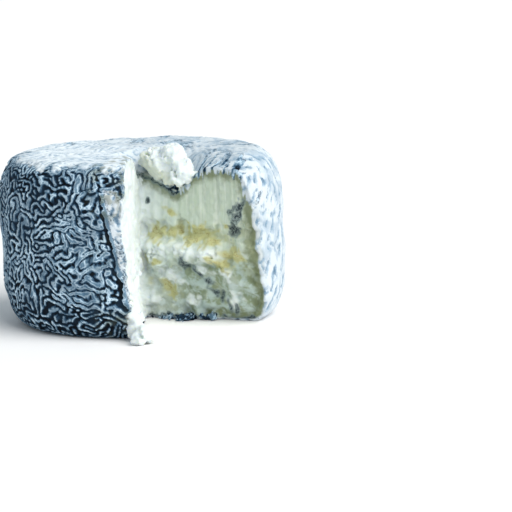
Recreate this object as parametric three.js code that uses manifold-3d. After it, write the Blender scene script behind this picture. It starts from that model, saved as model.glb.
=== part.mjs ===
// A small ash-ripened cheese wheel with one wedge cut out of it.
// Millimetres, +Z up. It stands on z = 0 with the origin under the middle of its bounding box.
// The open wedge faces -Y and +X. Rind and paste are one body, so the wheel is one mesh.
import * as THREE from "three";
import { mergeVertices } from "three/addons/utils/BufferGeometryUtils.js";
import Module from "manifold-3d";

// Driving dimensions of the wheel.
const wheelDiameter = 110;
const wheelHeight = 67;
const topShoulder = { inset: 12, drop: 19 }; // how far the top edge is rounded in, and down
const baseShoulder = { inset: 10, rise: 20 }; // how far the base edge is rounded in, and up
const shoulderFullness = 2.25; // 2 is an ellipse, more is squarer
const lean = 0.8; // how far the slumped top sits to -X of the base
const outOfRound = 0.9; // how far the ripened outline strays from a circle
const topSag = 0.8; // how far the middle of the top has settled

// The open wedge: where its two cuts meet, and the way each runs out from there, in degrees
// from -Y towards +X. The second cut curves: its way is given at shares of the height.
const wedgeTip = { x: -0.8, y: -2, radius: 1.2 };
const firstCutAngle = -6.3;
const secondCutAngles = [[0, 67], [0.13, 62], [0.3, 56.5], [0.5, 53], [1, 52.5]];

// The knife dragged the top rind down along the second cut: how far it drops at each place
// along that cut from the tip, and how wide the drop is on either side.
const draggedRind = {
  drops: [[-6, 0], [0, 7], [18.5, 14.5], [26, 9], [33, 4.8], [42, 5.5], [49, 5], [57, 4]],
  width: 8,
};

// Torn curd that stays on the wheel: a lump across the top of the second cut, and a crumb at
// the foot of the first, whose angle is measured as the cuts' are but from the wheel's axis.
const tornLump = { length: 26, width: 14, height: 15, along: 12, proud: 1.2, tilt: -22 };
const footCrumb = { length: 17, width: 11, height: 8, angle: -3.3, past: 0.5, sunk: 1.2 };

// How finely the surfaces are divided.
const segments = 72;
const shoulderSteps = 8;
const sideSteps = 3;
const discRings = 7;
const cutSteps = { along: 8, across: 6, up: 20 };
const lumpDetail = 4;

const wheelRadius = wheelDiameter / 2;
const degrees = Math.PI / 180;
const margin = 20; // how far the cutting wedge runs past the wheel

const wasm = await Module();
wasm.setup();

function toSolid(geometry) {
  const bare = geometry.clone();
  bare.deleteAttribute("normal");
  bare.deleteAttribute("uv");
  const merged = mergeVertices(bare, 1e-4);
  const triVerts = new Uint32Array(merged.index.array);
  const vertProperties = merged.attributes.position.array;
  return new wasm.Manifold(new wasm.Mesh({ numProp: 3, vertProperties, triVerts }));
}

function toGeometry(solid) {
  const mesh = solid.getMesh();
  const geometry = new THREE.BufferGeometry();
  geometry.setAttribute("position", new THREE.BufferAttribute(mesh.vertProperties, 3));
  geometry.setIndex(new THREE.BufferAttribute(mesh.triVerts, 1));
  return geometry;
}

// Moves every vertex with change(point), which alters the point it is given.
function reshape(geometry, change) {
  const positions = geometry.attributes.position;
  const point = new THREE.Vector3();
  for (let i = 0; i < positions.count; i++) {
    point.fromBufferAttribute(positions, i);
    change(point);
    positions.setXYZ(i, point.x, point.y, point.z);
  }
  return geometry;
}

// The level direction at an angle from -Y towards +X.
function directionAt(angle) {
  return new THREE.Vector2(Math.sin(angle * degrees), -Math.cos(angle * degrees));
}

// A quarter of a superellipse, from the flat (0) to the upright side (1).
function shoulderPoint(share) {
  const angle = (share * Math.PI) / 2;
  const power = 2 / shoulderFullness;
  return { out: Math.sin(angle) ** power, along: 1 - Math.cos(angle) ** power };
}

// Half of the wheel's section, from the middle of the base to the middle of the top.
function wheelProfile() {
  const points = [];
  const baseFlat = wheelRadius - baseShoulder.inset;
  const topFlat = wheelRadius - topShoulder.inset;
  for (let i = 0; i < discRings; i++) {
    points.push(new THREE.Vector2((baseFlat * i) / discRings, 0));
  }
  for (let i = 0; i <= shoulderSteps; i++) {
    const { out, along } = shoulderPoint(i / shoulderSteps);
    points.push(new THREE.Vector2(baseFlat + baseShoulder.inset * out, baseShoulder.rise * along));
  }
  const sideHeight = wheelHeight - baseShoulder.rise - topShoulder.drop;
  for (let i = 1; i < sideSteps; i++) {
    const height = baseShoulder.rise + (sideHeight * i) / sideSteps;
    points.push(new THREE.Vector2(wheelRadius, height));
  }
  for (let i = shoulderSteps; i >= 0; i--) {
    const { out, along } = shoulderPoint(i / shoulderSteps);
    const height = wheelHeight - topShoulder.drop * along;
    points.push(new THREE.Vector2(topFlat + topShoulder.inset * out, height));
  }
  for (let i = discRings - 1; i >= 0; i--) {
    points.push(new THREE.Vector2((topFlat * i) / discRings, wheelHeight));
  }
  return points;
}

// A value that runs straight from one [place, value] point to the next, level past the ends.
function valueAt(points, place) {
  const next = points.findIndex(([start]) => start > place);
  if (next === 0) return points[0][1];
  if (next === -1) return points.at(-1)[1];
  const [from, value] = points[next - 1];
  const [to, nextValue] = points[next];
  return THREE.MathUtils.mapLinear(place, from, to, value, nextValue);
}

function secondCutAngle(height) {
  return valueAt(secondCutAngles, height / wheelHeight);
}

// How far the dragged rind lies below the top at a place beside the second cut.
function dragDepth(x, y) {
  const cut = directionAt(secondCutAngle(wheelHeight));
  const along = (x - wedgeTip.x) * cut.x + (y - wedgeTip.y) * cut.y;
  const away = (x - wedgeTip.x) * -cut.y + (y - wedgeTip.y) * cut.x;
  return valueAt(draggedRind.drops, along) * Math.exp(-((away / draggedRind.width) ** 2));
}

function wheelBody() {
  const geometry = new THREE.LatheGeometry(wheelProfile(), segments).rotateX(Math.PI / 2);
  return reshape(geometry, (point) => {
    const angle = Math.atan2(point.y, point.x);
    const share = Math.hypot(point.x, point.y) / wheelRadius;
    const wave = 0.6 * Math.cos(2 * angle + 0.7) + 0.4 * Math.cos(3 * angle - 1.1);
    const stretch = 1 + (outOfRound * wave) / wheelRadius;
    const sunk = topSag * (1 - share ** 2) + dragDepth(point.x, point.y);
    point.x *= stretch;
    point.y *= stretch;
    point.z -= sunk * THREE.MathUtils.smoothstep(point.z / wheelHeight, 0.6, 1);
  });
}

// The space of the missing wedge, from below the base to above the top. A box is bent round
// the wedge's tip: its length runs outwards, its width from the first cut to the second.
function wedgeSpace() {
  const reach = wheelDiameter;
  const depth = wheelHeight + 2 * margin;
  const { along, across, up } = cutSteps;
  const geometry = new THREE.BoxGeometry(1, 1, depth, along, across, up);
  geometry.translate(0, 0, wheelHeight / 2);
  return reshape(geometry, (point) => {
    const height = THREE.MathUtils.clamp(point.z, 0, wheelHeight);
    const length = THREE.MathUtils.lerp(wedgeTip.radius, reach, point.x + 0.5);
    const angle = THREE.MathUtils.lerp(firstCutAngle, secondCutAngle(height), point.y + 0.5);
    const out = directionAt(angle).multiplyScalar(length);
    point.set(wedgeTip.x + out.x, wedgeTip.y + out.y, point.z);
  });
}

// A rounded lump of curd about its own centre, its length along X.
function curd({ length, width, height }) {
  const lump = new THREE.IcosahedronGeometry(0.5, lumpDetail);
  return reshape(lump, (point) => {
    const rough = 1 + 0.09 * Math.sin(11 * point.x + 7 * point.z) * Math.cos(9 * point.y);
    point.set(point.x * length * rough, point.y * width * rough, point.z * height * rough);
  });
}

function tornLumpBody() {
  const angle = secondCutAngle(wheelHeight);
  const place = directionAt(angle).multiplyScalar(tornLump.along);
  const middle = wheelHeight + tornLump.proud - tornLump.height / 2;
  const body = curd(tornLump).rotateY(-tornLump.tilt * degrees).rotateZ((angle - 90) * degrees);
  return body.translate(wedgeTip.x + place.x, wedgeTip.y + place.y, middle);
}

// The crumb leans on the wheel's lower edge, just inside the open wedge.
function footCrumbBody() {
  const place = directionAt(footCrumb.angle).multiplyScalar(wheelRadius + footCrumb.past);
  const body = curd(footCrumb).rotateZ((footCrumb.angle - 90) * degrees);
  body.translate(place.x, place.y, footCrumb.height / 2 - footCrumb.sunk);
  return reshape(body, (point) => {
    point.z = Math.max(point.z, 0);
  });
}

function cheeseWheel() {
  const cut = toSolid(wheelBody()).subtract(toSolid(wedgeSpace()));
  const solid = cut.add(toSolid(tornLumpBody())).add(toSolid(footCrumbBody()));
  const geometry = reshape(toGeometry(solid), (point) => {
    point.x -= lean * (point.z / wheelHeight);
  });
  geometry.computeBoundingBox();
  const middle = geometry.boundingBox.getCenter(new THREE.Vector3());
  geometry.translate(-middle.x, -middle.y, -geometry.boundingBox.min.z);
  geometry.computeVertexNormals();
  return geometry;
}

const ashAndPaste = new THREE.MeshStandardMaterial({
  color: 0x9fb0bb,
  roughness: 0.85,
  metalness: 0,
});
const wheel = new THREE.Mesh(cheeseWheel(), ashAndPaste);
wheel.name = "cheese_wheel";

const part = new THREE.Group();
part.add(wheel);

export default part;
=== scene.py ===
"""The looks of the cut cheese wheel: wrinkled ash rind, crumbly paste, plain studio.

Shape is worked out in millimetres on a grid, turned into one closed mesh, and only then
scaled to metres. "First" and "second" name the two cuts of the open wedge.
"""

import math

import bpy
import numpy as np
from mathutils import Matrix, Vector


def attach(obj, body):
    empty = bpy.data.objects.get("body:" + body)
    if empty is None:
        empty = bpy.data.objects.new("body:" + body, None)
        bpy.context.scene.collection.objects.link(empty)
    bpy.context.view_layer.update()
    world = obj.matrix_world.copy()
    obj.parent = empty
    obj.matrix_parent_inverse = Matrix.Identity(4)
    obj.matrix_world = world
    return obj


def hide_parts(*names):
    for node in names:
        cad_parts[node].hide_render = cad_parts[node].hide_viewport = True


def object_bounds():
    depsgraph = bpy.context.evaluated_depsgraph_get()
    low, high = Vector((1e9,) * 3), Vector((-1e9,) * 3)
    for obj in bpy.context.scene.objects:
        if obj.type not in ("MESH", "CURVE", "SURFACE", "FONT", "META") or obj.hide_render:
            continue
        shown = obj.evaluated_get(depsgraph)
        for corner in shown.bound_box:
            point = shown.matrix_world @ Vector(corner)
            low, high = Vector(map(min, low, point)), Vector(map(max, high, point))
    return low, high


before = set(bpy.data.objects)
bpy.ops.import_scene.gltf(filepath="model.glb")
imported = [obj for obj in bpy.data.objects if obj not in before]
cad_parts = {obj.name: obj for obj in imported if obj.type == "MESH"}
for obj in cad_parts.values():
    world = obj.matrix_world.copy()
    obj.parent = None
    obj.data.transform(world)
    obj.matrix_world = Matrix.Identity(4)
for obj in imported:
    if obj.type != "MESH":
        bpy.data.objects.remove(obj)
cad_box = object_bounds()

# ---------------------------------------------------------------- driving dimensions, in mm

RADIUS = 55.0
HEIGHT = 67.0
ROUND = 2.0 * math.pi * RADIUS
TOP_INSET, TOP_DROP = 12.0, 19.0  # how far the top edge is rounded in, and down
BASE_INSET, BASE_RISE = 10.0, 20.0  # how far the base edge is rounded in, and up
SHOULDER_FULLNESS = 2.25  # 2 is an ellipse, more is squarer
LEAN = 0.8  # how far the slumped top sits to -X of the base
OUT_OF_ROUND = 0.9  # how far the outline strays from a circle
TOP_SAG = 0.8  # how far the middle of the top has settled

# The wheel's axis meets the table this far from the right side and the back of the CAD's box.
RIGHT_REACH, BACK_REACH = 55.16, 54.27
BOX_CORNER = 1000.0 * np.array(cad_box[1])
AXIS = np.round(BOX_CORNER[:2] - (RIGHT_REACH, BACK_REACH), 2)

TIP = np.array([-0.8, -2.0])  # where the two cuts meet, from the axis
FIRST_ANGLE = -6.3
# The second cut curves: its way out, at shares of the height.
SECOND_SHARES = (0.0, 0.13, 0.3, 0.5, 1.0)
SECOND_ANGLES = (67.0, 62.0, 56.5, 53.0, 52.5)

# The knife dragged the top rind down along the second cut: places along it, and the drop.
DRAG_ALONG = (-6.0, 0.0, 18.5, 26.0, 33.0, 42.0, 49.0, 57.0)
DRAG_DROP = (0.0, 7.0, 14.5, 9.0, 4.8, 5.5, 5.0, 4.0)
DRAG_WIDTH = 8.0

CREASE_ANGLE = -11.8  # where the knife creased the rind beside the first cut
CREASE_MIDDLE = 30.0  # the height at which the crease lies at that angle
CREASE_SLANT = 0.19  # how much further round it lies, for each mm up

WRINKLE_LENGTH = 2.45  # from one ridge to the next
WRINKLE_HEIGHT = 0.8
CELL = 0.5  # the grid's spacing
COARSE = 4  # how many cells the first rough look steps over
FINE_WITHIN = 3.6  # a distance over the diagonal of one such step

SEED = 41


def smoothstep(low, high, x):
    share = np.clip((x - low) / (high - low), 0.0, 1.0)
    return share * share * (3.0 - 2.0 * share)


def mix(a, b, share):
    return a + (b - a) * share


def soft_min(a, b, width):
    share = np.clip(0.5 + 0.5 * (b - a) / width, 0.0, 1.0)
    return mix(b, a, share) - width * share * (1.0 - share)


def soft_max(a, b, width):
    return -soft_min(-a, -b, width)


# ---------------------------------------------------------------- tables that are looked up


class Table:
    """Values on a regular grid over any number of axes, looked up with linear blending."""

    def __init__(self, values, low, step, wraps=False):
        self.values = values.astype(np.float32)
        self.low = low
        self.step = step
        self.wraps = wraps

    def __call__(self, *places):
        corners, shares = [], []
        for axis, place in enumerate(places):
            size = self.values.shape[axis]
            spot = (place - self.low[axis]) / self.step
            if self.wraps:
                spot = np.mod(spot, size)
            else:
                spot = np.clip(spot, 0.0, size - 1.001)
            whole = np.floor(spot).astype(np.int32)
            corners.append((whole % size, (whole + 1) % size))
            shares.append(spot - whole)
        total = 0.0
        for pick in np.ndindex(*(2,) * len(places)):
            weight = 1.0
            for share, side in zip(shares, pick):
                weight = weight * (share if side else 1.0 - share)
            index = tuple(corner[side] for corner, side in zip(corners, pick))
            total = total + weight * self.values[index]
        return total


def wave_numbers(shape, step):
    axes = [2.0 * math.pi * np.fft.fftfreq(size, step) for size in shape[:-1]]
    axes.append(2.0 * math.pi * np.fft.rfftfreq(shape[-1], step))
    return np.sqrt(sum(axis**2 for axis in np.meshgrid(*axes, indexing="ij")))


def noise(size, step, length, seed, roughness=0.0, dims=2):
    """Smooth noise that wraps round, with a spread of 1. Roughness adds finer detail."""
    shape = (round(size / step),) * dims
    rng = np.random.default_rng(SEED + seed)
    waves = wave_numbers(shape, step) * length / (2.0 * math.pi)
    share = np.exp(-2.0 * waves**2)
    if roughness:
        share = share + roughness / (1.0 + waves**2) ** 1.2
    values = np.fft.irfftn(np.fft.rfftn(rng.standard_normal(shape)) * share, shape)
    values = (values - values.mean()) / values.std()
    return Table(values, (0.0,) * dims, step, wraps=True)


def wrinkle_pattern(width, height, seed, step=0.4, rounds=20):
    """Ridges that fold like a drying skin: a Swift-Hohenberg pattern, spread about 1."""
    shape = (round(width / step), round(height / step))
    rng = np.random.default_rng(SEED + seed)
    waves = wave_numbers(shape, step) * WRINKLE_LENGTH / (2.0 * math.pi)
    growth = 0.9 - 0.75 * (1.0 - waves**2) ** 2
    field = 0.3 * rng.standard_normal(shape)
    for _ in range(rounds):
        push = 0.55 * field**2 - field**3
        whole = np.fft.rfftn(field) + 0.4 * np.fft.rfftn(push)
        field = np.fft.irfftn(whole / (1.0 - 0.4 * growth), shape)
    return Table((field - field.mean()) / field.std(), (0.0, 0.0), step, wraps=True)


# ---------------------------------------------------------------- the wheel's own coordinates


def shoulder(share):
    power = 2.0 / SHOULDER_FULLNESS
    angle = share * math.pi / 2.0
    return np.sin(angle) ** power, 1.0 - np.cos(angle) ** power


def profile():
    """Half of the wheel's section, from the middle of the base to the middle of the top."""
    out, along = shoulder(np.linspace(0.0, 1.0, 25))
    base_r = RADIUS - BASE_INSET + BASE_INSET * out
    top_r = RADIUS - TOP_INSET + TOP_INSET * out
    r = np.concatenate([[0.0], base_r, top_r[::-1], [0.0]])
    z = np.concatenate([[0.0], BASE_RISE * along, (HEIGHT - TOP_DROP * along)[::-1], [HEIGHT]])
    return r, z


def profile_tables(step=0.5):
    """For a place in the section: its distance from the skin, inside being negative, and how
    far along the skin its nearest point lies from the middle of the base."""
    r, z = profile()
    lengths = np.hypot(np.diff(r), np.diff(z))
    starts = np.concatenate([[0.0], np.cumsum(lengths)[:-1]])
    low = (-1.0, -6.0)
    grid_r, grid_z = np.meshgrid(
        np.arange(low[0], RADIUS + 8.0, step),
        np.arange(low[1], HEIGHT + 10.0, step),
        indexing="ij",
    )
    nearest = np.full(grid_r.shape, 1e9)
    along = np.zeros(grid_r.shape)
    for i, length in enumerate(lengths):
        dr, dz = (r[i + 1] - r[i]) / length, (z[i + 1] - z[i]) / length
        run = np.clip((grid_r - r[i]) * dr + (grid_z - z[i]) * dz, 0.0, length)
        gap = np.hypot(grid_r - r[i] - run * dr, grid_z - z[i] - run * dz)
        closer = gap < nearest
        nearest = np.where(closer, gap, nearest)
        along = np.where(closer, starts[i] + run, along)
    side_r, side_z = r[1:-1], z[1:-1]
    edge = np.interp(grid_z, side_z, side_r)
    inside = (grid_z > 0.0) & (grid_z < HEIGHT) & (grid_r < edge)
    distance = np.where(inside, -nearest, nearest)
    return Table(distance, low, step), Table(along, low, step), lengths.sum()


def direction(angle):
    return np.sin(np.radians(angle)), -np.cos(np.radians(angle))


def second_angle(z):
    return np.interp(z / HEIGHT, SECOND_SHARES, SECOND_ANGLES)


def from_axis(x, y, z):
    """Undoes the lean, and gives a place from the wheel's axis."""
    return x - AXIS[0] + LEAN * z / HEIGHT, y - AXIS[1]


def beside_cut(x, y, angle, side):
    """Along a cut from the tip, and out of the solid into the open wedge."""
    out_x, out_y = direction(angle)
    dx, dy = x - TIP[0], y - TIP[1]
    return dx * out_x + dy * out_y, side * (dy * out_x - dx * out_y)


def beside_second(x, y, z):
    return beside_cut(x, y, second_angle(z), -1.0)


def sunk(x, y):
    """How far the top lies below its own plane."""
    along, away = beside_cut(x, y, SECOND_ANGLES[-1], -1.0)
    drag = np.interp(along, DRAG_ALONG, DRAG_DROP) * np.exp(-((away / DRAG_WIDTH) ** 2))
    return TOP_SAG * (1.0 - (x * x + y * y) / RADIUS**2) + drag


class Wheel:
    """The fields that say how far a place lies from each surface."""

    def __init__(self):
        self.skin, self.along_skin, self.skin_length = profile_tables()
        self.bumps = noise(64.0, 0.5, length=9.0, seed=1, dims=3)
        self.grain = noise(48.0, 0.5, length=2.2, seed=2, dims=3)
        self.reliefs = (first_relief(), second_relief())
        self.ragged = noise(90.0, 0.5, length=3.0, seed=3, roughness=0.3)
        step = ROUND / 640
        self.bends = [noise(ROUND, step, length=16.0, seed=seed) for seed in (4, 5)]
        self.kinks = [noise(ROUND, step, length=3.2, seed=seed) for seed in (8, 9)]
        self.side_patches = noise(ROUND, step, length=14.0, seed=6, roughness=0.2)
        self.top_patches = noise(128.0, 0.5, length=12.0, seed=7, roughness=0.2)
        self.side_wrinkles = wrinkle_pattern(ROUND, self.skin_length, 21)
        self.top_wrinkles = wrinkle_pattern(128.0, 128.0, 22)
        self.base_wrinkles = wrinkle_pattern(128.0, 128.0, 23)

    def section(self, x, y, z):
        """A place's radius and height once stretch, sag and drag are undone."""
        angle = np.arctan2(y, x)
        wave = 0.6 * np.cos(2.0 * angle + 0.7) + 0.4 * np.cos(3.0 * angle - 1.1)
        radius = np.hypot(x, y) / (1.0 + OUT_OF_ROUND * wave / RADIUS)
        lowered = sunk(x, y)
        return radius, z + lowered * smoothstep(0.55, 0.97, (z + lowered) / HEIGHT), angle

    def drum(self, x, y, z):
        radius, height, _ = self.section(x, y, z)
        swell = 0.25 * self.bumps(x, y, z) * smoothstep(3.0, 12.0, z)
        return self.skin(radius, height) - swell

    def cuts(self, x, y, z):
        """How far into the open wedge a place lies, from each cut's broken face."""
        first_along, first_out = beside_cut(x, y, FIRST_ANGLE, 1.0)
        second_along, second_out = beside_second(x, y, z)
        first_out = first_out - self.reliefs[0](first_along, z)
        second_out = second_out - self.reliefs[1](second_along, z)
        return first_out, second_out

    def torn_curd(self, x, y, z):
        along, out = beside_second(x, y, z)
        fine = self.grain(2.2 * x, 2.2 * y, 2.2 * z)
        rough = 0.4 * self.bumps(2.0 * x, 2.0 * y, 2.0 * z) + 0.45 * self.grain(x, y, z)
        curd = torn(TORN_CURD, along, out, z)
        return soft_min(curd, foot_crumb(x, y, z), 0.5) + 0.8 * rough + 0.22 * fine

    def torn_flaps(self, x, y, z):
        along, out = beside_second(x, y, z)
        return torn(TORN_FLAPS, along, out, z) + 0.55 * self.grain(1.5 * x, 1.5 * y, 1.5 * z)

    def solid(self, x, y, z):
        wedge = soft_min(*self.cuts(x, y, z), 2.5) - 0.16 * self.grain(x, y, z)
        body = soft_max(self.drum(x, y, z), wedge, 0.6)
        body = soft_min(body, self.torn_flaps(x, y, z), 0.6)
        body = soft_min(body, self.torn_curd(x, y, z), 0.7)
        return np.maximum(body, -z)


# ---------------------------------------------------------------- the two broken faces

FACE_LOW, FACE_STEP = (-6.0, -4.0), 0.4
KNIFE_EDGE = 38.0  # above this height the knife left the paste smooth
PIT = -2.2  # the depth between curds


def face_grid():
    along = np.arange(FACE_LOW[0], 66.0, FACE_STEP)
    up = np.arange(FACE_LOW[1], HEIGHT + 6.0, FACE_STEP)
    return np.meshgrid(along, up, indexing="ij")


def curds(along, up, seed, count, sizes, reach):
    """Crumbled curd: caps of many sizes, the highest one showing."""
    rng = np.random.default_rng(SEED + seed)
    height = np.full(along.shape, PIT)
    for _ in range(count):
        at, over = rng.uniform(*reach[0]), rng.uniform(*reach[1])
        size = sizes[0] * (sizes[1] / sizes[0]) ** rng.random() ** 1.6
        squeeze, turn = rng.uniform(0.6, 1.0), rng.uniform(0.0, math.pi)
        lift = 0.09 * sizes[1] * rng.normal()
        near_along = np.abs(along[:, 0] - at) < size
        near_up = np.abs(up[0] - over) < size
        window = np.ix_(near_along, near_up)
        da, du = along[window] - at, up[window] - over
        near = np.hypot(
            da * math.cos(turn) + du * math.sin(turn),
            (du * math.cos(turn) - da * math.sin(turn)) / squeeze,
        )
        cap = np.sqrt(np.maximum(0.0, 1.0 - (near / size) ** 2)) * size
        top = np.where(cap > 0.0, 0.75 * cap - 0.55 * size + lift, PIT)
        height[window] = np.maximum(height[window], top)
    return height


def first_relief():
    """The first cut's face: crumbled, more so towards its foot."""
    along, up = face_grid()
    reach = ((-6.0, 62.0), (-4.0, 70.0))
    crumbs = curds(along, up, seed=11, count=420, sizes=(1.2, 4.5), reach=reach)
    fine = curds(along, up, seed=17, count=2600, sizes=(0.5, 1.6), reach=reach)
    drift = noise(90.0, 0.5, length=9.0, seed=12)(along, up)
    streaks = noise(90.0, 0.5, length=2.4, seed=20)(along, 0.06 * up)
    low = 1.0 - smoothstep(6.0, 38.0, up)
    relief = 0.4 * drift + 0.12 * streaks + 1.0 * low
    relief = relief + (0.08 + 0.55 * low) * crumbs + (0.06 + 0.2 * low) * fine
    return Table(relief, FACE_LOW, FACE_STEP)


# White curd standing out of the second face: along the cut and up, half sizes, and its tilt.
WHITE_CURD = (
    ((10.0, 27.6), (9.0, 3.4), 0.1),
    ((22.0, 29.0), (9.0, 3.8), -0.05),
    ((32.0, 27.4), (7.0, 3.2), -0.2),
    ((11.5, 18.5), (6.0, 3.4), -0.2),
    ((4.0, 8.0), (4.6, 3.6), 0.1),
    ((29.0, 20.5), (3.6, 2.0), 0.0),
    ((39.5, 20.0), (3.4, 3.0), 0.2),
    ((22.0, 8.0), (4.0, 2.0), 0.2),
    ((40.0, 8.5), (3.0, 3.4), 0.0),
)


def second_relief():
    """The second cut's face: smooth from the knife above, broken below a white ledge."""
    along, up = face_grid()
    drift = noise(90.0, 0.5, length=14.0, seed=13)(along, up)
    lumps = noise(90.0, 0.5, length=6.5, seed=19, roughness=0.25)(along, up)
    ragged = noise(90.0, 0.5, length=4.0, seed=14, roughness=0.4)(along, up)
    streaks = noise(90.0, 0.5, length=1.6, seed=15)(along, 0.045 * up)
    knife = 0.35 * drift + 0.16 * streaks
    reach = ((-6.0, 64.0), (-4.0, KNIFE_EDGE))
    crumbs = curds(along, up, seed=16, count=160, sizes=(2.0, 6.5), reach=reach)
    reach = ((-6.0, 64.0), (-4.0, KNIFE_EDGE + 2.0))
    fine = curds(along, up, seed=18, count=2600, sizes=(0.5, 1.7), reach=reach)
    edge = KNIFE_EDGE + 1.3 * ragged + 1.5 * drift
    below = 1.0 - smoothstep(-0.9, 0.9, up - edge)
    white = stains(WHITE_CURD, along, up, ragged)
    wander = up + 0.8 * ragged + 1.2 * np.sin(0.16 * along)
    ledge = np.clip((34.0 - wander) / 11.0, 0.0, 1.0) * smoothstep(20.5, 23.5, wander)
    ledge = ledge * smoothstep(1.0, 6.0, along) * (1.0 - smoothstep(36.0, 42.0, along))
    hollow = smoothstep(31.0, 34.0, wander)
    rough = 0.7 * lumps + 0.35 * crumbs + (0.2 + 0.4 * white) * fine + 1.2 * white
    broken = rough + 3.8 * ledge - 1.6 * hollow
    return Table(mix(knife, broken, below), FACE_LOW, FACE_STEP)


# Torn curd on the wheel. Place along the second cut, out from it and up; half sizes in the
# same order; how much it drops along the cut.
TORN_CURD = (
    ((11.5, 0.0, 62.4), (7.4, 4.2, 4.2), 0.4),
    ((16.0, -2.2, 65.6), (5.6, 4.6, 3.7), 0.1),
    ((20.8, -0.6, 61.4), (4.8, 4.4, 5.0), 0.5),
    ((6.0, -3.2, 64.6), (4.0, 4.2, 2.2), 0.0),
    ((24.6, 0.0, 57.8), (2.4, 2.4, 2.6), 0.0),
    ((20.0, 1.4, 56.6), (3.4, 2.2, 2.2), 0.5),
    ((7.0, -0.6, 60.6), (6.0, 2.4, 3.0), 0.42),
    ((14.0, -0.4, 57.4), (5.4, 2.4, 3.4), 0.45),
)

# Flaps of torn rind under the second cut, in the same form.
TORN_FLAPS = (
    ((11.0, 1.4, 1.0), (3.4, 2.4, 1.0), 0.0),
    ((18.5, 2.6, 0.9), (3.4, 3.2, 1.2), -0.1),
    ((28.0, 0.8, 1.2), (2.6, 1.6, 1.1), 0.0),
)

# The crumb at the foot of the first cut: place from the wheel's axis, and half sizes.
FOOT_CRUMB = (
    ((-2.2, -58.6, 2.9), (3.4, 4.6, 3.2)),
    ((0.6, -60.0, 2.0), (2.0, 2.6, 2.1)),
    ((-4.6, -54.0, 4.4), (2.6, 4.4, 3.4)),
    ((-2.8, -61.4, 1.9), (2.6, 2.0, 2.1)),
    ((-5.4, -51.0, 8.0), (1.8, 2.6, 2.6)),
)


FAR = 60.0  # a distance beyond any that matters


def ellipsoid(dx, dy, dz, half):
    reach = np.sqrt((dx / half[0]) ** 2 + (dy / half[1]) ** 2 + (dz / half[2]) ** 2)
    return (reach - 1.0) * min(half)


def torn(pieces, along, out, up):
    """The distance from a heap of torn pieces, each of them a rounded lump."""
    distance = np.full(along.shape, FAR)
    for (at, off, height), half, drop in pieces:
        da = along - at
        lump = ellipsoid(da, out - off, up - height + drop * da, half)
        distance = soft_min(distance, lump, 1.2)
    return distance


def foot_crumb(x, y, z):
    distance = np.full(x.shape, FAR)
    for (at_x, at_y, at_z), half in FOOT_CRUMB:
        distance = soft_min(distance, ellipsoid(x - at_x, y - at_y, z - at_z, half), 1.0)
    return distance


# ---------------------------------------------------------------- one closed mesh


def surface_net(values, low):
    """One point in each cell that the zero level crosses, and quads that join them. A place
    outside has a value over 0."""
    cells = tuple(count - 1 for count in values.shape)
    inside = values < 0.0
    corners = list(np.ndindex(2, 2, 2))
    filled = sum(
        inside[tuple(slice(o, o + c) for o, c in zip(corner, cells))].astype(np.int8)
        for corner in corners
    )
    active = (filled > 0) & (filled < len(corners))
    spots = np.argwhere(active)
    points = low + CELL * (spots + crossing_middles(values, spots, corners))
    number = np.full(cells, -1, np.int32)
    number[active] = np.arange(len(spots))
    return points, np.concatenate([crossed_quads(inside, number, axis) for axis in range(3)])


def crossing_middles(values, spots, corners):
    """The mean of the places where a cell's edges cross the zero level, in cells."""
    at = [values[tuple((spots + corner).T)] for corner in corners]
    total = np.zeros(spots.shape)
    hits = np.zeros(len(spots))
    for i, low_corner in enumerate(corners):
        for j, high_corner in enumerate(corners):
            step = np.subtract(high_corner, low_corner)
            if step.min() < 0 or step.sum() != 1:
                continue
            crossed = (at[i] < 0.0) != (at[j] < 0.0)
            gap = np.where(crossed, at[i] - at[j], 1.0)
            share = np.where(crossed, at[i] / gap, 0.0)
            total += crossed[:, None] * (np.array(low_corner) + share[:, None] * step)
            hits += crossed
    return total / hits[:, None]


def crossed_quads(inside, number, axis):
    """A quad round each grid edge along an axis that runs into the solid or out of it."""
    u, v = (axis + 1) % 3, (axis + 2) % 3
    start = [slice(1, -1)] * 3
    start[axis] = slice(0, -1)
    end = list(start)
    end[axis] = slice(1, None)
    before, after = inside[tuple(start)], inside[tuple(end)]
    quads = []
    for leaving in (True, False):
        crossed = (before & ~after) if leaving else (~before & after)
        spot = np.argwhere(crossed)
        spot[:, u] += 1
        spot[:, v] += 1
        ring = []
        for back_u, back_v in ((1, 1), (0, 1), (0, 0), (1, 0)):
            cell = spot.copy()
            cell[:, u] -= back_u
            cell[:, v] -= back_v
            ring.append(number[tuple(cell.T)])
        quads.append(np.stack(ring if leaving else ring[::-1], axis=1))
    return np.concatenate(quads)


def vertex_normals(points, quads):
    a, b, c, d = (points[quads[:, i]] for i in range(4))
    faces = np.cross(c - a, d - b)
    normals = np.zeros(points.shape)
    for i in range(4):
        for axis in range(3):
            normals[:, axis] += np.bincount(quads[:, i], faces[:, axis], len(points))
    return normals / np.maximum(np.linalg.norm(normals, axis=1), 1e-9)[:, None]


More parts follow.
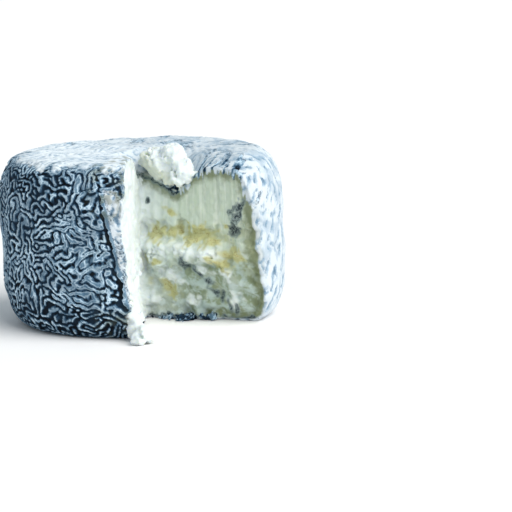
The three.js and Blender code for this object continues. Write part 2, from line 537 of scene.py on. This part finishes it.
def carve(wheel):
    """The whole solid as a grid of values, and the grid's low corner. A rough look finds
    where the surface runs, and only the places near it are worked out one by one."""
    low = np.array([AXIS[0] - RADIUS - 4.0, AXIS[1] - RADIUS - 12.0, -1.5])
    high = np.array([AXIS[0] + RADIUS + 4.0, AXIS[1] + RADIUS + 4.0, HEIGHT + 6.0])
    axes = [np.arange(a, b, CELL, dtype=np.float32) for a, b in zip(low, high)]

    def solid_at(x, y, z):
        return wheel.solid(*from_axis(x, y, z), z)

    rough = solid_at(*np.meshgrid(*(axis[::COARSE] for axis in axes), indexing="ij"))
    for axis, places in enumerate(axes):
        rough = np.repeat(rough, COARSE, axis=axis).take(np.arange(len(places)), axis=axis)
    values = rough.astype(np.float32)
    near = np.nonzero(np.abs(rough) < FINE_WITHIN)
    values[near] = solid_at(*(axis[index] for axis, index in zip(axes, near)))
    return values, low


# ---------------------------------------------------------------- what the surface carries


# Degrees round from the front towards the right, where dark rind gives way to pale and back.
PALE_FROM, PALE_TO = (-8.0, 6.0), (105.0, 165.0)


def rind_pattern(wheel, x, y, z):
    """The ridges and grooves of the rind: over 0 on a ridge, under 0 in a groove. Also gives
    the degrees round from the front."""
    radius, height, angle = wheel.section(x, y, z)
    along = wheel.along_skin(radius, height)
    around = angle * RADIUS
    turn = turn_from_front(angle)
    bend_a, bend_b = wheel.bends
    flat_x, flat_y = x + 2.0 * bend_a(x, y), y + 2.0 * bend_b(x, y)
    upper = wheel.top_wrinkles(flat_x, flat_y)
    lower = wheel.base_wrinkles(flat_x, flat_y)
    side = side_pattern(wheel, around, along, turn)
    wander = 1.5 * bend_a(around, along)
    base_end = RADIUS - BASE_INSET + 3.0
    top_start = wheel.skin_length - (RADIUS - TOP_INSET) - 5.0
    on_top = smoothstep(-0.8, 0.8, along - top_start + wander)
    on_base = 1.0 - smoothstep(-0.8, 0.8, along - base_end + wander)
    pattern = mix(mix(side, 0.35 * upper, on_top), lower, on_base)
    return pattern + crease(wheel, around, along, z), turn


def side_pattern(wheel, around, along, turn):
    """Tight folds on the dark rind, and broad soft ones on the pale rind."""
    bend_a, bend_b = wheel.bends
    kink_a, kink_b = wheel.kinks
    across = around + 1.4 * bend_a(around, along) + 0.4 * kink_a(around, along)
    up = along + 1.4 * bend_b(around, along) + 0.4 * kink_b(around, along)
    tight = 0.95 * wheel.side_wrinkles(0.85 * across, 1.12 * up)
    tight = tight + 0.3 * wheel.side_wrinkles(1.9 * across, 1.9 * up)
    broad = 0.9 * wheel.side_wrinkles(0.5 * across, 0.42 * up)
    pale_side = smoothstep(22.0, 40.0, turn) * (1.0 - smoothstep(105.0, 150.0, turn))
    return mix(tight, broad, 0.8 * pale_side)


def turn_from_front(angle):
    """Degrees round from -Y towards +X, from -180 to 180."""
    return np.mod(np.degrees(angle) + 270.0, 360.0) - 180.0


def beyond_crease(turn, z):
    """How far round towards the first cut a place lies from the long crease beside it."""
    return np.radians(turn - CREASE_ANGLE) * RADIUS + CREASE_SLANT * (z - CREASE_MIDDLE)


def crease(wheel, around, along, z):
    """The long crease that the first cut pressed into the rind beside it."""
    turn = turn_from_front(around / RADIUS)
    gap = beyond_crease(turn, z) - 0.5 * wheel.kinks[0](around, along)
    there = smoothstep(8.0, 16.0, z) * (1.0 - smoothstep(52.0, 60.0, z))
    groove = -3.0 * np.exp(-((gap / 0.6) ** 2))
    lip = 2.4 * np.exp(-(((gap - 1.6) / 0.8) ** 2))
    return (groove + lip) * there


def ash_and_shade_amount(wheel, x, y, z, turn):
    """How dark the ash shows, with painted shade in it: much on the left and the base, little on
    the right and top.
    """
    around = np.radians(turn) * RADIUS
    spots = wheel.side_patches(3.0 * around, 2.0 * z)
    side = side_ash_and_shade(wheel, around, z, turn, spots)
    top_edge = RADIUS - TOP_INSET
    within = 1.0 - smoothstep(top_edge - 6.0, top_edge + 2.0, np.hypot(x, y))
    on_top = smoothstep(HEIGHT - 4.0, HEIGHT - 0.5, z + spots)
    on_top = np.maximum(on_top, within * smoothstep(30.0, 45.0, z))
    ash = mix(side, top_ash(wheel, x, y), on_top)
    return np.clip(ash + cut_gashes(wheel, x, y, z), 0.0, 1.2)


def side_ash_and_shade(wheel, around, z, turn, spots):
    """The side's ash, thickest in a band near the top and another at the base. The base band is
    also painted contact shadow.
    """
    patches = wheel.side_patches(around, z)
    pale = smoothstep(*PALE_FROM, turn + 1.5 * patches) * (1.0 - smoothstep(*PALE_TO, turn))
    dark = 1.0 - pale
    side = 0.14 + (0.62 + 0.1 * patches) * dark
    # Painted shade: darker still towards the far left, where the light falls least.
    side = side + 0.14 * smoothstep(20.0, 60.0, -turn) * dark
    mottled = smoothstep(0.8, 2.4, beyond_crease(turn, z)) * (1.0 - smoothstep(8.0, 20.0, turn))
    side = mix(side, 0.3 + 0.08 * spots, mottled * smoothstep(4.0, 12.0, z))
    upper_band = np.exp(-(((z - 60.0) / 5.0) ** 2)) * smoothstep(-0.6, 1.0, spots)
    # Painted contact shadow as well as ash: the dark band at the base.
    base_ash_and_contact_shadow = 1.0 - smoothstep(3.0, 15.0, z + 1.5 * patches)
    return side + (0.75 * upper_band + 0.8 * base_ash_and_contact_shadow) * dark


def top_ash(wheel, x, y):
    """The top's faint ash, more of it towards the back and the right."""
    blots = smoothstep(0.3, 1.5, wheel.top_patches(1.2 * x, 1.2 * y))
    return (0.14 + 0.3 * blots) * smoothstep(-15.0, 25.0, x + 0.5 * y)


def cut_gashes(wheel, x, y, z):
    """Dark cracks in the rind above the second cut."""
    along, away = beside_second(x, y, z)
    ticks = smoothstep(-0.1, 1.1, wheel.kinks[1](2.0 * along, 0.5 * z + 0.6 * away))
    gashes = np.exp(-((away / 8.0) ** 2)) * smoothstep(22.0, 27.0, along)
    gashes = gashes * smoothstep(46.0, 54.0, z) * (1.0 - smoothstep(54.0, 57.0, along))
    return 1.1 * gashes * ticks


# Blue mould in the paste: along the second cut and up, half sizes, and its tilt.
MOULD = (
    ((47.6, 46.4), (3.6, 2.2), 0.5),
    ((46.0, 42.2), (2.6, 3.0), 0.3),
    ((44.0, 37.4), (2.4, 3.4), 0.2),
    ((21.0, 23.4), (2.2, 2.4), 0.0),
    ((26.6, 19.2), (3.0, 1.9), -0.5),
    ((29.4, 16.4), (2.6, 1.6), -0.6),
    ((31.6, 11.6), (2.6, 1.4), -0.7),
    ((34.6, 9.0), (1.2, 2.6), 0.3),
    ((37.6, 6.6), (1.2, 2.6), 0.3),
    ((40.6, 4.8), (1.0, 2.4), 0.3),
    ((4.0, 46.5), (0.8, 1.1), 0.0),
)

# Yellower, wetter paste in hollows, in the same form. The first spot is painted shadow under the
# torn curd.
YELLOW = (
    # Painted shadow: the pocket under the torn curd's left end.
    ((3.6, 57.4), (3.0, 2.0), -0.4),
    ((28.0, 34.6), (10.0, 3.8), 0.0),
    ((12.0, 34.6), (12.0, 3.4), 0.1),
    ((15.0, 43.2), (3.6, 1.3), -0.25),
    ((38.0, 23.5), (5.0, 2.4), -0.2),
    ((41.0, 38.6), (1.6, 1.3), 0.0),
    ((3.4, 23.0), (2.2, 2.6), 0.0),
    ((12.0, 12.5), (4.6, 3.4), -0.5),
    ((9.0, 23.4), (3.4, 1.5), 0.1),
    ((44.0, 27.5), (5.0, 3.0), 0.1),
    ((23.0, 38.8), (1.8, 1.2), 0.0),
    ((36.5, 32.0), (2.4, 1.8), -0.4),
)


def stains(spots, along, up, ragged, soft=1.2):
    """Spots with ragged edges, 1 at their middles."""
    total = np.zeros(along.shape)
    for (at, height), half, tilt in spots:
        da = along - at
        du = up - height - tilt * da
        near = np.hypot(da / half[0], du / half[1])
        spot = 1.0 - smoothstep(0.9 - 0.5 * soft, 0.9 + 0.5 * soft, near + 0.3 * ragged)
        total = np.maximum(total, spot)
    return total


DEEP_IN = 9.0  # a depth below the rind at which the paste has lost its creamline


def rind_cover(wheel, skin, along, out, z):
    """1 where the rind shows, with ragged ticks along the second cut's upper edge."""
    ticks = smoothstep(17.0, 22.0, along) * np.abs(wheel.ragged(2.2 * along, 0.4 * z))
    ticks = ticks * smoothstep(46.0, 52.0, z)
    return smoothstep(-1.2, -0.6, skin + 1.5 * ticks * (out > -3.0))


def wrinkled(points, normals, pattern, ash, rind):
    """The points, raised on the rind's ridges and sunk in its grooves."""
    ridge = smoothstep(-1.4, 0.6, pattern)
    lift = WRINKLE_HEIGHT * (ridge - 0.85) * mix(0.5, 1.0, np.clip(ash, 0.0, 1.0))
    moved = points + normals * (lift * rind)[:, None]
    moved[:, 2] = np.maximum(moved[:, 2], 0.0)
    return moved


def seam_and_shadow_below_lump(x, y, z, along, out, ragged):
    """The dark line where the dragged rind ends on the second face: the rind's ash edge, and
    painted shadow under the torn curd.
    """
    below = z - (HEIGHT - 1.6 - sunk(x, y)) + 0.4 * ragged
    seam_and_shadow = np.exp(-((below / 0.8) ** 2)) * smoothstep(-0.5, 1.5, along)
    return seam_and_shadow * (1.0 - smoothstep(18.0, 21.0, along)) * (np.abs(out) < 4.0)


def white_amount(along, z, relief, broken, ragged):
    """White curd on the second face: what stands out, the curds, and painted light all near the
    tip.
    """
    white = 0.24 * smoothstep(0.0, 2.4, relief) * broken
    white = np.maximum(white, 0.85 * stains(WHITE_CURD, along, z, ragged, 0.8))
    # Painted light: the paste is made white near the tip, whitest at the tip itself.
    painted_light_near_tip = (1.0 - 0.045 * along) * mix(0.6, 1.0, smoothstep(18.0, 30.0, z))
    return np.maximum(white, painted_light_near_tip)


def yellow_amount(along, z, skin, relief, broken, ragged):
    """Yellow on the second face: its stains, painted shade in its hollows, and the paste under the
    rind.
    """
    # Painted shade: the deeper the relief's hollow, the yellower.
    hollow = (1.0 - smoothstep(-2.2, 0.0, relief)) * broken
    yellow = np.maximum(stains(YELLOW, along, z, ragged), 0.4 * hollow)
    warm = 0.5 * np.exp(-(((z - 34.0) / 14.0) ** 2)) * smoothstep(-6.5, -1.0, skin)
    return np.maximum(yellow, warm)


def olive_rind(wheel, x, y, z, turn):
    """Where older mould has turned the rind beside the first cut olive."""
    near = smoothstep(-26.0, -17.0, turn) * (1.0 - smoothstep(-6.0, -4.0, turn))
    high = smoothstep(44.0, 50.0, z) + 1.0 - smoothstep(8.0, 14.0, z)
    return near * np.clip(high, 0.3, 1.0) * smoothstep(-0.2, 1.0, wheel.grain(x, y, z))


def paint(wheel, points, normals):
    """Wrinkles the rind, and gives each point what the material reads."""
    x, y, z = points.T
    x, y = from_axis(x, y, z)
    along, out = beside_second(x, y, z)
    skin = wheel.drum(x, y, z)
    is_curd = 1.0 - smoothstep(0.1, 0.9, wheel.torn_curd(x, y, z))
    is_flap = 1.0 - smoothstep(0.1, 0.6, wheel.torn_flaps(x, y, z))
    rind = rind_cover(wheel, skin, along, out, z) * (1.0 - is_curd)
    pattern, turn = rind_pattern(wheel, x, y, z)
    ash = ash_and_shade_amount(wheel, x, y, z, turn)
    moved = wrinkled(points, normals, pattern, ash, rind)

    relief = wheel.reliefs[1](along, z)
    ragged = wheel.ragged(1.3 * along, 1.3 * z)
    broken = 1.0 - smoothstep(-1.0, 1.0, z - KNIFE_EDGE)
    on_second = 1.0 - smoothstep(2.0, 4.0, np.abs(out - relief))
    on_second = on_second * smoothstep(0.5, 3.0, along) * (1.0 - is_curd)

    # Partly painted shadow: the dark line below the torn curd darkens rind and paste.
    seam_and_shadow = seam_and_shadow_below_lump(x, y, z, along, out, ragged) * (1.0 - is_curd)
    rind = np.maximum(rind, is_flap)
    ash = np.maximum(np.maximum(ash, is_flap), 1.2 * seam_and_shadow)
    flap_pattern = 1.8 * wheel.grain(1.7 * x, 1.7 * y, 1.7 * z)
    pattern = mix(pattern, flap_pattern, is_flap) - 2.0 * seam_and_shadow

    # Partly painted shadow: a dark band at the foot of the second face, the base rind's edge and
    # the shade where it meets the floor.
    foot = (1.0 - smoothstep(1.0, 2.4, z + 0.6 * ragged)) * on_second
    mould = stains(MOULD, along, z, ragged) * on_second
    inner_foot = (1.0 - smoothstep(5.0, 12.0, z)) * (1.0 - smoothstep(30.0, 42.0, along))
    depth = np.maximum(0.0, -skin) + 4.0 * inner_foot
    # Painted shade: the torn curd's lower left end, which faces away from the light, is made ivory.
    shaded_lump_end = 1.0 - smoothstep(8.0, 18.0, along + 1.2 * (z - 62.0))
    painted_shade_on_lump = 0.4 * is_curd * (z > 40.0) * shaded_lump_end
    yellow = yellow_amount(along, z, skin, relief, broken, ragged)
    yellow = np.maximum(yellow * on_second, painted_shade_on_lump)
    # Painted light: the first cut's paste is given the whitest curd colour, as where the light
    # strikes it. The torn curd is white as well.
    lit_first_cut_and_curd_white = mix(0.92 + 0.08 * ragged, 1.0, is_curd)
    second_white = white_amount(along, z, relief, broken, ragged)
    return moved, {
        "rind": rind,
        "pattern": pattern,
        # ash also carries painted shade: the far left, the contact shadow at the base and the line
        # below the torn curd.
        "ash": ash,
        "depth": np.where(on_second > 0.5, depth, DEEP_IN),
        # mould also carries painted shadow: the seam below the torn curd and the foot of the face.
        "mould": np.maximum(mould, np.maximum(seam_and_shadow, foot)),
        "yellow": np.maximum(yellow, 0.8 * olive_rind(wheel, x, y, z, turn) * rind),
        # Painted shade: the lower part of the second face is made darker and cooler.
        "low": (1.0 - smoothstep(20.0, 31.0, z + ragged)) * on_second,
        "white": mix(lit_first_cut_and_curd_white, second_white, on_second),
    }


def build_wheel():
    wheel = Wheel()
    values, low = carve(wheel)
    points, quads = surface_net(values, low)
    normals = vertex_normals(points, quads)
    points, carried = paint(wheel, points, normals)
    mesh = bpy.data.meshes.new("ripe_cheese")
    mesh.vertices.add(len(points))
    mesh.vertices.foreach_set("co", (points * 0.001).astype(np.float32).ravel())
    mesh.loops.add(quads.size)
    mesh.loops.foreach_set("vertex_index", quads.astype(np.int32).ravel())
    mesh.polygons.add(len(quads))
    mesh.polygons.foreach_set("loop_start", np.arange(0, quads.size, 4, dtype=np.int32))
    mesh.update(calc_edges=True)
    mesh.shade_smooth()
    for name, numbers in carried.items():
        layer = mesh.attributes.new(name, "FLOAT", "POINT")
        layer.data.foreach_set("value", numbers.astype(np.float32))
    piece = bpy.data.objects.new("ripe_cheese", mesh)
    bpy.context.scene.collection.objects.link(piece)
    piece.data.materials.append(cheese_material())
    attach(piece, "root")
    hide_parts("cheese_wheel")


# ---------------------------------------------------------------- materials


class Nodes:
    """Short ways to add and join the nodes of one material."""

    def __init__(self, name):
        self.material = bpy.data.materials.new(name)
        self.material.use_nodes = True
        self.tree = self.material.node_tree
        self.shader = self.tree.nodes["Principled BSDF"]

    def add(self, kind, **settings):
        node = self.tree.nodes.new(kind)
        for name, value in settings.items():
            setattr(node, name, value)
        return node

    def put(self, socket, value):
        if isinstance(value, bpy.types.NodeSocket):
            self.tree.links.new(value, socket)
        elif isinstance(value, tuple) and len(value) == 3:
            socket.default_value = (*value, 1.0)
        else:
            socket.default_value = value

    def attribute(self, name):
        return self.add("ShaderNodeAttribute", attribute_name=name).outputs["Fac"]

    def millimetres(self, stretch=(1.0, 1.0, 1.0)):
        place = self.add("ShaderNodeTexCoord").outputs["Object"]
        mapping = self.add("ShaderNodeMapping")
        self.put(mapping.inputs["Vector"], place)
        mapping.inputs["Scale"].default_value = tuple(1000.0 * s for s in stretch)
        return mapping.outputs["Vector"]

    def noise(self, place, size, detail=3.0, roughness=0.5):
        node = self.add("ShaderNodeTexNoise")
        self.put(node.inputs["Vector"], place)
        self.put(node.inputs["Scale"], 1.0 / size)
        self.put(node.inputs["Detail"], detail)
        self.put(node.inputs["Roughness"], roughness)
        return node.outputs["Fac"]

    def math(self, operation, *values):
        node = self.add("ShaderNodeMath", operation=operation)
        for socket, value in zip(node.inputs, values):
            self.put(socket, value)
        return node.outputs[0]

    def step(self, value, low, high, to_low=0.0, to_high=1.0):
        node = self.add("ShaderNodeMapRange", interpolation_type="SMOOTHSTEP")
        numbers = (value, low, high, to_low, to_high)
        for socket, number in zip(node.inputs, numbers):
            self.put(socket, number)
        return node.outputs["Result"]

    def mix(self, share, a, b):
        node = self.add("ShaderNodeMix", data_type="RGBA")
        for socket, value in zip((node.inputs[0], node.inputs[6], node.inputs[7]), (share, a, b)):
            self.put(socket, value)
        return node.outputs[2]

    def mix_number(self, share, a, b):
        node = self.add("ShaderNodeMix", data_type="FLOAT")
        for socket, value in zip((node.inputs[0], node.inputs[2], node.inputs[3]), (share, a, b)):
            self.put(socket, value)
        return node.outputs[0]

    def bump(self, height, strength, distance, under=None):
        node = self.add("ShaderNodeBump")
        self.put(node.inputs["Height"], height)
        self.put(node.inputs["Strength"], strength)
        self.put(node.inputs["Distance"], distance)
        if under is not None:
            self.put(node.inputs["Normal"], under)
        return node.outputs["Normal"]


def srgb(red, green, blue):
    def linear(value):
        share = value / 255.0
        return share / 12.92 if share <= 0.04045 else ((share + 0.055) / 1.055) ** 2.4

    return linear(red), linear(green), linear(blue)


# The bottom of a groove: ash, and painted shade.
SOOT_AND_GROOVE_SHADE = srgb(4, 14, 24)
DEEP = srgb(34, 60, 82)
SLATE = srgb(96, 128, 152)
RIDGE = srgb(126, 156, 178)
RIM = srgb(208, 230, 244)
SNOW = srgb(234, 241, 245)
BLOOM = srgb(212, 220, 225)
VEIN = srgb(92, 120, 142)
HAZE = srgb(138, 164, 184)
OLIVE = srgb(108, 112, 84)
PASTE = srgb(190, 202, 184)
STREAK = srgb(218, 224, 212)
# Painted shade: the darker, cooler paste of the lower second face.
SHADED_LOW_PASTE = srgb(140, 153, 126)
SHADED_LOW_PALE = srgb(178, 194, 186)
CREAMLINE = srgb(112, 121, 88)
WET_PASTE_AND_SHADE = srgb(190, 188, 128)
CRACK = srgb(140, 112, 56)
# Curd white, also used as painted light near the tip and on the first cut.
CURD_AND_LIT_WHITE = srgb(225, 232, 231)
MOULD_HALO_AND_SHADOW = srgb(120, 136, 136)
MOULD_AND_SHADOW_DARK = srgb(28, 42, 52)


def rind_colour(n, place):
    """Ridges with pale rims and sooty grooves where there is ash, white bloom elsewhere. Deep in
    the grooves the dark is partly painted shade.
    """
    pattern = n.attribute("pattern")
    ash = n.attribute("ash")
    speck = n.noise(place, 0.8, 3.0, 0.6)
    blotch = n.noise(place, 4.0, 4.0, 0.6)
    shifted = n.math("ADD", pattern, n.step(speck, 0.2, 0.8, -0.35, 0.35))
    height = n.math("SUBTRACT", shifted, n.step(ash, 0.5, 1.2, -0.2, 1.0))
    flat_ridge = n.mix(n.step(blotch, 0.35, 0.65), SLATE, RIDGE)
    rim = n.mix(n.step(blotch, 0.3, 0.6, 0.25, 1.0), SLATE, RIM)
    # Painted shade as well as ash: the deeper into a groove, the darker.
    dark = n.mix(n.step(height, -1.3, -0.9), SOOT_AND_GROOVE_SHADE, DEEP)
    dark = n.mix(n.step(height, -1.0, -0.2), dark, SLATE)
    dark = n.mix(n.step(height, -0.3, 0.3), dark, rim)
    dark = n.mix(n.step(height, 0.5, 1.1), dark, flat_ridge)
    hollow = n.math("MULTIPLY", n.step(shifted, -0.9, 0.7, 0.95, 0.0), n.step(blotch, 0.42, 0.57))
    vein = n.math("MULTIPLY", n.step(shifted, -1.5, -0.6, 0.95, 0.0), n.step(blotch, 0.35, 0.5))
    pale = n.mix(n.step(ash, 0.0, 0.12), SNOW, BLOOM)
    pale = n.mix(hollow, pale, HAZE)
    pale = n.mix(vein, pale, VEIN)
    cloud = n.noise(place, 9.0, 3.0, 0.6)
    dusk = n.math("MULTIPLY", n.step(cloud, 0.47, 0.64, 0.0, 0.75), n.step(ash, 0.0, 0.3, 0.3, 1.0))
    pale = n.mix(dusk, pale, HAZE)
    dark = n.mix(n.step(cloud, 0.4, 0.62, 0.0, 0.45), dark, DEEP)
    colour = n.mix(n.step(ash, 0.2, 0.5), pale, dark)
    mottled = n.math("MULTIPLY", n.step(ash, 0.2, 0.26), n.step(ash, 0.4, 0.5, 0.75, 0.0))
    spots = n.math("MULTIPLY", mottled, n.step(speck, 0.5, 0.6))
    colour = n.mix(spots, colour, DEEP)
    olive = n.math("MULTIPLY", n.attribute("yellow"), n.step(height, -0.9, 0.0, 0.2, 0.7))
    return n.mix(olive, colour, OLIVE)


def paste_colour(n, place):
    depth = n.attribute("depth")
    yellow = n.attribute("yellow")
    mottle = n.noise(place, 3.5, 4.0, 0.6)
    streaks = n.noise(n.millimetres((1.0, 1.0, 0.05)), 1.5, 3.0, 0.6)
    streaked = n.mix(n.step(streaks, 0.42, 0.68, 0.0, 0.6), PASTE, STREAK)
    # Painted shade: the lower face takes the darker, cooler paste.
    broken = n.mix(n.step(mottle, 0.4, 0.6), SHADED_LOW_PASTE, SHADED_LOW_PALE)
    colour = n.mix(n.attribute("low"), streaked, broken)
    # Curd white, and painted light near the tip and on the first cut.
    colour = n.mix(n.attribute("white"), colour, CURD_AND_LIT_WHITE)
    # Yellow stains, and painted shade in hollows, under the torn curd and at the lump's end.
    colour = n.mix(n.step(yellow, 0.0, 1.0, 0.0, 0.85), colour, WET_PASTE_AND_SHADE)
    gap = n.math("ABSOLUTE", n.math("SUBTRACT", mottle, 0.5))
    crack = n.math("MULTIPLY", n.step(gap, 0.0, 0.02, 0.7, 0.0), n.step(yellow, 0.6, 1.0))
    colour = n.mix(crack, colour, CRACK)
    edge = n.math("ADD", depth, n.step(mottle, 0.3, 0.7, -1.2, 1.2))
    colour = n.mix(n.step(edge, 2.0, 7.0, 0.85, 0.0), colour, CREAMLINE)
    crumbs = n.noise(place, 0.8, 3.0, 0.7)
    # Mould spots, and painted shadow at the seam and the foot.
    mould = n.math("MULTIPLY", n.attribute("mould"), n.step(crumbs, 0.3, 0.65, 0.4, 1.0))
    colour = n.mix(n.step(mould, 0.02, 0.4, 0.0, 0.75), colour, MOULD_HALO_AND_SHADOW)
    return n.mix(n.step(mould, 0.3, 1.0, 0.0, 0.95), colour, MOULD_AND_SHADOW_DARK)


def cheese_material():
    n = Nodes("ash_rind_and_paste")
    place = n.millimetres()
    rind = n.attribute("rind")
    colour = n.mix(rind, paste_colour(n, place), rind_colour(n, place))
    n.put(n.shader.inputs["Base Color"], colour)
    n.put(n.shader.inputs["Roughness"], n.mix_number(rind, 0.55, 0.8))
    n.put(n.shader.inputs["Subsurface Weight"], n.mix_number(rind, 0.45, 0.05))
    n.shader.inputs["Specular IOR Level"].default_value = 0.15
    n.shader.inputs["Subsurface Radius"].default_value = (1.0, 0.9, 0.6)
    n.shader.inputs["Subsurface Scale"].default_value = 0.002
    fine = n.noise(place, 0.35, 3.0, 0.65)
    grain = n.noise(place, 1.1, 4.0, 0.6)
    normal = n.bump(grain, 0.5, 0.0004)
    normal = n.bump(fine, 0.5, 0.00015, normal)
    n.put(n.shader.inputs["Normal"], normal)
    return n.material


def floor_material():
    n = Nodes("pale_floor")
    n.put(n.shader.inputs["Base Color"], (0.99, 0.965, 0.955))
    n.put(n.shader.inputs["Roughness"], 0.9)
    return n.material


# ---------------------------------------------------------------- studio

SUN_FROM_RIGHT = 44.0  # degrees from +X towards the camera
SUN_RISE = 42.0
SUN_STRENGTH = 3.05
SUN_SOFTNESS = 60.0  # the sun's width in degrees
SUN_COLOUR = (1.0, 0.99, 0.97)
SKY_COLOUR = (0.82, 0.93, 1.0, 1.0)
SKY_STRENGTH = 0.5


def build_floor():
    mesh = bpy.data.meshes.new("floor")
    half = 6.0
    corners = [(-half, -half, 0.0), (half, -half, 0.0), (half, half, 0.0), (-half, half, 0.0)]
    mesh.from_pydata(corners, [], [(0, 1, 2, 3)])
    floor = bpy.data.objects.new("floor", mesh)
    floor.data.materials.append(floor_material())
    bpy.context.scene.collection.objects.link(floor)


def build_lights():
    sun = bpy.data.lights.new("sun", "SUN")
    sun.energy = SUN_STRENGTH
    sun.angle = math.radians(SUN_SOFTNESS)
    sun.color = SUN_COLOUR
    lamp = bpy.data.objects.new("sun", sun)
    across, rise = math.radians(SUN_FROM_RIGHT), math.radians(SUN_RISE)
    towards = Vector((
        math.cos(across) * math.cos(rise),
        -math.sin(across) * math.cos(rise),
        math.sin(rise),
    ))
    lamp.rotation_euler = towards.to_track_quat("Z", "Y").to_euler()
    bpy.context.scene.collection.objects.link(lamp)
    world = bpy.data.worlds.new("studio")
    world.use_nodes = True
    background = world.node_tree.nodes["Background"]
    background.inputs["Color"].default_value = SKY_COLOUR
    background.inputs["Strength"].default_value = SKY_STRENGTH
    bpy.context.scene.world = world


ELEVATION = 8.3  # how high the camera stands, in degrees
DISTANCE = 1.108  # from the wheel's middle, in metres
LENS = 197.2
TURN = 2.304  # how far right of the wheel's axis the camera looks, in degrees
TILT = 0.554  # how far below the wheel's middle it looks
ROLL = -1.92


def build_camera():
    data = bpy.data.cameras.new("camera")
    data.lens = LENS
    data.sensor_width = 36.0
    data.clip_start = 0.05
    camera = bpy.data.objects.new("camera", data)
    rise = math.radians(ELEVATION)
    axis_x, axis_y = AXIS * 0.001
    camera.location = (
        axis_x,
        axis_y - DISTANCE * math.cos(rise),
        0.0005 * HEIGHT + DISTANCE * math.sin(rise),
    )
    camera.rotation_mode = "QUATERNION"
    turn = Matrix.Rotation(-math.radians(TURN), 4, "Z")
    tip = Matrix.Rotation(math.radians(90.0 - ELEVATION - TILT), 4, "X")
    roll = Matrix.Rotation(math.radians(ROLL), 4, "Z")
    camera.rotation_quaternion = (turn @ tip @ roll).to_quaternion()
    bpy.context.scene.collection.objects.link(camera)
    bpy.context.scene.camera = camera


build_camera()
build_lights()
build_floor()
build_wheel()
bpy.context.scene.view_settings.view_transform = "Standard"
